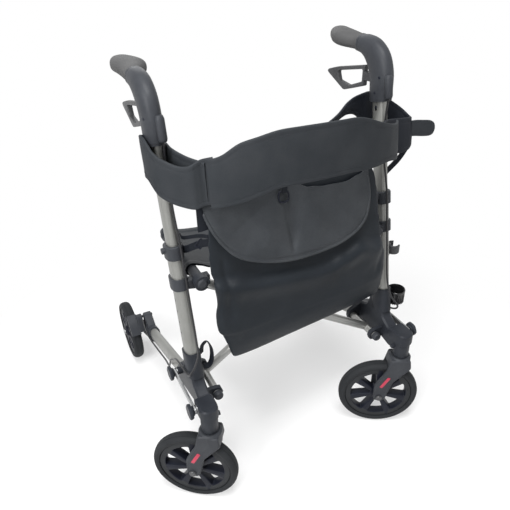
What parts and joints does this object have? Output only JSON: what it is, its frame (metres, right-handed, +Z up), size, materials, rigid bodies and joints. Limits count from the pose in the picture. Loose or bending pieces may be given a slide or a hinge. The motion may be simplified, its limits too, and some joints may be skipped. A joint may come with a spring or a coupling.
{
  "type": "four-wheel walker",
  "caption": "Folding walking frame on wheels with a cross brace, sling seat, hanging bag, back band, height-adjustable handles, loop brake levers and swivelling front wheels.",
  "frame": {"origin": "on the floor, under the centre of the bounding box", "axes": "+Z up, the front of the walker faces -Y, and +X is to the right in the picture"},
  "size_m": [0.7592, 0.7112, 0.94],
  "materials": {
    "anodised_aluminium": "satin anodised",
    "zinc_steel": "zinc plated",
    "charcoal_plastic": "fine matt",
    "grip_rubber": "matt",
    "lever_plastic": "satin",
    "tyre_rubber": "matt",
    "rim_plastic": "satin",
    "gloss_black": "gloss",
    "cable_sleeve": "smooth sleeve",
    "webbing": "woven webbing",
    "bag_nylon": "coated nylon cloth"
  },
  "bodies": {
    "left_frame": {"front_post_left": "anodised_aluminium", "lower_joint_left": "charcoal_plastic", "rear_leg_left": "anodised_aluminium", "rear_bracket_left": "charcoal_plastic", "height_clamp_left": "charcoal_plastic", "seat_bracket_left": "charcoal_plastic", "side_link_left": "zinc_steel", "front_knob_left": "charcoal_plastic", "rear_knob_left": "charcoal_plastic", "rear_axle_left": "zinc_steel", "brake_cable_left": "cable_sleeve", "bag_body": "bag_nylon", "bag_flap": "bag_nylon", "backrest_band": "webbing", "strap_loop": "webbing", "pull_ring": "charcoal_plastic"},
    "left_handle": {"handle_stem_left": "anodised_aluminium", "handle_housing_left": "charcoal_plastic", "hand_grip_left": "grip_rubber"},
    "left_lever": {"brake_lever_left": "lever_plastic"},
    "left_shoe": {"brake_shoe_left": "charcoal_plastic"},
    "left_rear_wheel": {"rear_rim_left": "rim_plastic", "rear_tyre_left": "tyre_rubber"},
    "left_caster": {"caster_fork_left": "charcoal_plastic", "front_axle_left": "zinc_steel"},
    "left_front_wheel": {"front_rim_left": "rim_plastic", "front_tyre_left": "tyre_rubber"},
    "right_frame": {"front_post_right": "anodised_aluminium", "lower_joint_right": "charcoal_plastic", "rear_leg_right": "anodised_aluminium", "rear_bracket_right": "charcoal_plastic", "height_clamp_right": "charcoal_plastic", "seat_bracket_right": "charcoal_plastic", "side_link_right": "zinc_steel", "front_knob_right": "charcoal_plastic", "rear_knob_right": "charcoal_plastic", "rear_axle_right": "zinc_steel", "brake_cable_right": "cable_sleeve", "cane_cup": "gloss_black", "cane_clip": "lever_plastic"},
    "right_handle": {"handle_stem_right": "anodised_aluminium", "handle_housing_right": "charcoal_plastic", "hand_grip_right": "grip_rubber"},
    "right_lever": {"brake_lever_right": "lever_plastic"},
    "right_shoe": {"brake_shoe_right": "charcoal_plastic"},
    "right_rear_wheel": {"rear_rim_right": "rim_plastic", "rear_tyre_right": "tyre_rubber"},
    "right_caster": {"caster_fork_right": "charcoal_plastic", "front_axle_right": "zinc_steel"},
    "right_front_wheel": {"front_rim_right": "rim_plastic", "front_tyre_right": "tyre_rubber"},
    "rear_brace_bar": {"rear_brace": "anodised_aluminium", "pivot_cap_left": "charcoal_plastic", "brace_pin": "zinc_steel"},
    "front_brace_bar": {"front_brace": "anodised_aluminium", "pivot_cap_right": "charcoal_plastic"},
    "right_rail": {"seat_rail_right": "charcoal_plastic"},
    "left_rail": {"seat_rail_left": "charcoal_plastic", "seat_sling": "bag_nylon"}
  },
  "joints": [
    {"name": "fold", "type": "hinge", "parent": "left_frame", "child": "rear_brace_bar", "pos_m": [-0.21741, -0.18344, 0.267], "axis": [0, -1, 0], "range_deg": [0, 43], "deforming": ["bag_body", "bag_flap", "backrest_band", "seat_sling", "pull_ring"]},
    {"name": "cross_pivot", "type": "hinge", "parent": "rear_brace_bar", "child": "front_brace_bar", "pos_m": [-0.00441, -0.20244, 0.406], "axis": [0, -1, 0], "range_deg": [-86, 0]},
    {"name": "right_low_pivot", "type": "hinge", "parent": "front_brace_bar", "child": "right_frame", "pos_m": [0.20859, -0.22144, 0.267], "axis": [0, -1, 0], "range_deg": [0, 43]},
    {"name": "right_rail_pivot", "type": "hinge", "parent": "rear_brace_bar", "child": "right_rail", "pos_m": [0.20859, -0.18344, 0.545], "axis": [0, -1, 0], "range_deg": [-43, 0]},
    {"name": "left_rail_pivot", "type": "hinge", "parent": "front_brace_bar", "child": "left_rail", "pos_m": [-0.21741, -0.22144, 0.545], "axis": [0, -1, 0], "range_deg": [0, 43]},
    {"name": "left_handle_height", "type": "slide", "parent": "left_frame", "child": "left_handle", "axis": [0, 0.1771, 0.9842], "range_m": [0, 0.075], "deforming": ["brake_cable_left"]},
    {"name": "left_lever_squeeze", "type": "hinge", "parent": "left_handle", "child": "left_lever", "pos_m": [-0.25441, -0.12544, 0.853], "axis": [1, 0, 0], "range_deg": [-16, 12], "stiffness_Nm_per_rad": 2},
    {"name": "left_shoe_press", "type": "hinge", "parent": "left_frame", "child": "left_shoe", "pos_m": [-0.29841, 0.19856, 0.179], "axis": [1, 0, 0], "range_deg": [-4, 3]},
    {"name": "left_rear_wheel_spin", "type": "hinge", "parent": "left_frame", "child": "left_rear_wheel", "pos_m": [-0.29841, 0.26656, 0.089], "axis": [1, 0, 0], "continuous": true},
    {"name": "left_caster_swivel", "type": "hinge", "parent": "left_frame", "child": "left_caster", "pos_m": [-0.25941, -0.31344, 0.25], "axis": [0, 0, 1], "continuous": true},
    {"name": "left_front_wheel_spin", "type": "hinge", "parent": "left_caster", "child": "left_front_wheel", "pos_m": [-0.2942, -0.28817, 0.1], "axis": [0.5878, 0.809, 0], "continuous": true},
    {"name": "right_handle_height", "type": "slide", "parent": "right_frame", "child": "right_handle", "axis": [0, 0.1771, 0.9842], "range_m": [0, 0.075], "deforming": ["brake_cable_right"]},
    {"name": "right_lever_squeeze", "type": "hinge", "parent": "right_handle", "child": "right_lever", "pos_m": [0.24559, -0.12544, 0.853], "axis": [1, 0, 0], "range_deg": [-16, 12], "stiffness_Nm_per_rad": 2},
    {"name": "right_shoe_press", "type": "hinge", "parent": "right_frame", "child": "right_shoe", "pos_m": [0.28959, 0.19856, 0.179], "axis": [1, 0, 0], "range_deg": [-4, 3]},
    {"name": "right_rear_wheel_spin", "type": "hinge", "parent": "right_frame", "child": "right_rear_wheel", "pos_m": [0.28959, 0.26656, 0.089], "axis": [1, 0, 0], "continuous": true},
    {"name": "right_caster_swivel", "type": "hinge", "parent": "right_frame", "child": "right_caster", "pos_m": [0.25059, -0.31344, 0.25], "axis": [0, 0, 1], "continuous": true},
    {"name": "right_front_wheel_spin", "type": "hinge", "parent": "right_caster", "child": "right_front_wheel", "pos_m": [0.21298, -0.2926, 0.1], "axis": [0.4848, 0.8746, 0], "continuous": true}
  ],
  "couplings": [
    {"joint": "cross_pivot", "follows": "fold", "ratio": -2},
    {"joint": "right_low_pivot", "follows": "fold", "ratio": 1},
    {"joint": "right_rail_pivot", "follows": "fold", "ratio": -1},
    {"joint": "left_rail_pivot", "follows": "fold", "ratio": 1},
    {"joint": "left_shoe_press", "follows": "left_lever_squeeze", "ratio": 0.24},
    {"joint": "right_shoe_press", "follows": "right_lever_squeeze", "ratio": 0.24}
  ]
}
